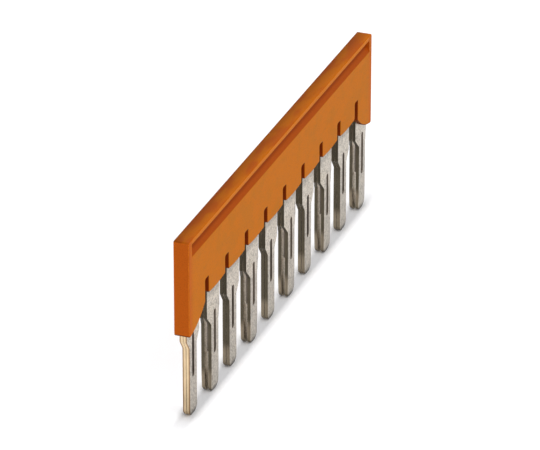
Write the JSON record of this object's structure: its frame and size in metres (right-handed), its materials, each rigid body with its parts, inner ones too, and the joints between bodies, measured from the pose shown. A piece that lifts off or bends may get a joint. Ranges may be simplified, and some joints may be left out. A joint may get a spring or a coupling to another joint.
{
  "type": "terminal block jumper bar",
  "caption": "Flat plug-in jumper bar: a folded contact comb with slit spring pins, pressed into a thin orange insulating housing with scalloped tongues.",
  "frame": {"origin": "middle of the bar, in the plane of the pin tips, halfway between the front and rear faces", "axes": "+X along the row of pins, -Y out of the front face with the lifting groove, +Z from the pin tips to the housing's top face"},
  "size_m": [0.0798, 0.0024, 0.0298],
  "materials": {
    "insulation": "orange moulded polyamide, fine satin surface",
    "tinned_contact": "tin-plated copper sheet with fine drawn lines along the pins"
  },
  "bodies": {
    "root": {"insulating_housing": "insulation", "contact_comb": "tinned_contact"}
  },
  "joints": []
}
